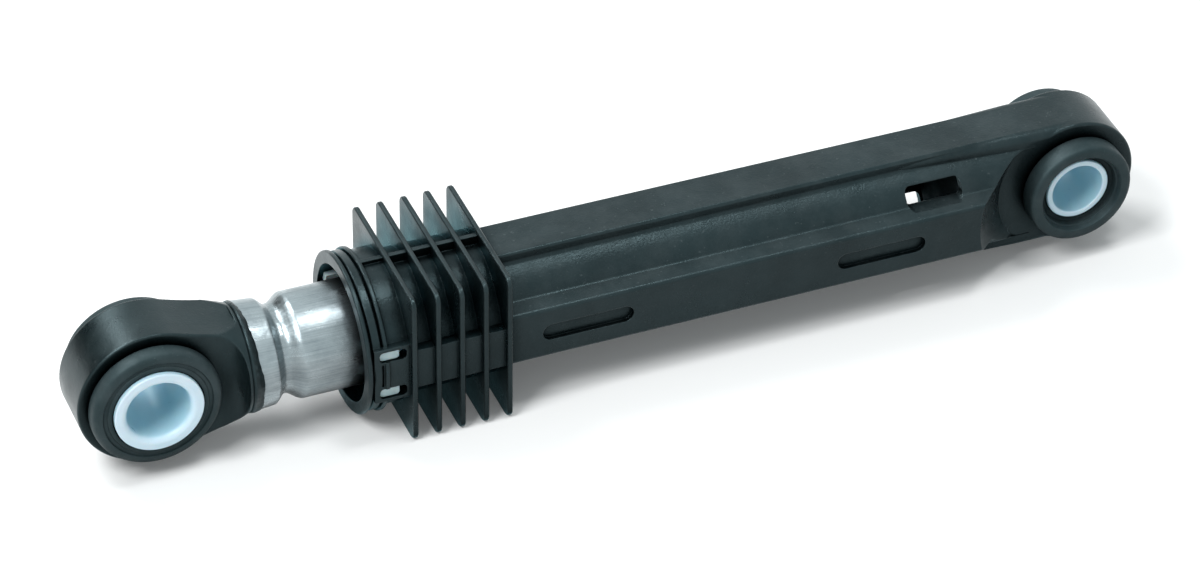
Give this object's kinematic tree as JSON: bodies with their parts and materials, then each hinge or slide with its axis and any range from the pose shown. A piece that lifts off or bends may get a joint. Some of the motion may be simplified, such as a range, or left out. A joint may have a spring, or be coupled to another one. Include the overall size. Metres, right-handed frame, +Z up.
{
  "type": "washing machine shock absorber",
  "caption": "Telescopic friction damper: a metal rod slides in a finned black plastic housing, with a rubber-bushed mounting eye at each end.",
  "frame": {"origin": "centre of the rod eye's bore", "axes": "+X along the damper from the rod eye to the housing eye, +Y along both eye bores, +Z up with the part lying on its fins"},
  "size_m": [0.21, 0.032, 0.032],
  "materials": {
    "housing_plastic": "satin black moulding",
    "eye_plastic": "satin black moulding",
    "bush_rubber": "matte black rubber",
    "sleeve_plastic": "smooth bluish white",
    "rod_metal": "drawn, lightly streaked",
    "natural_plastic": "natural, slightly clear",
    "lining_foam": "greased open foam"
  },
  "bodies": {
    "housing": {"housing_shell": "housing_plastic", "lining_holder": "natural_plastic", "friction_lining_outer": "lining_foam", "friction_lining_inner": "lining_foam", "rod_guide_bush": "natural_plastic", "end_buffer": "bush_rubber", "housing_eye_bush": "bush_rubber", "housing_eye_sleeve": "sleeve_plastic"},
    "guide": {"rod_guide_ring": "natural_plastic"},
    "rod": {"rod_tube": "rod_metal", "rod_end_plug": "eye_plastic", "rod_eye": "eye_plastic", "rod_eye_bush": "bush_rubber", "rod_eye_sleeve": "sleeve_plastic"}
  },
  "joints": [
    {"name": "rod_stroke", "type": "slide", "parent": "housing", "child": "guide", "axis": [-1, 0, 0], "range_m": [-0.013, 0.067]},
    {"name": "rod_twist", "type": "hinge", "parent": "guide", "child": "rod", "pos_m": [0, 0, 0], "axis": [-1, 0, 0], "continuous": true}
  ]
}
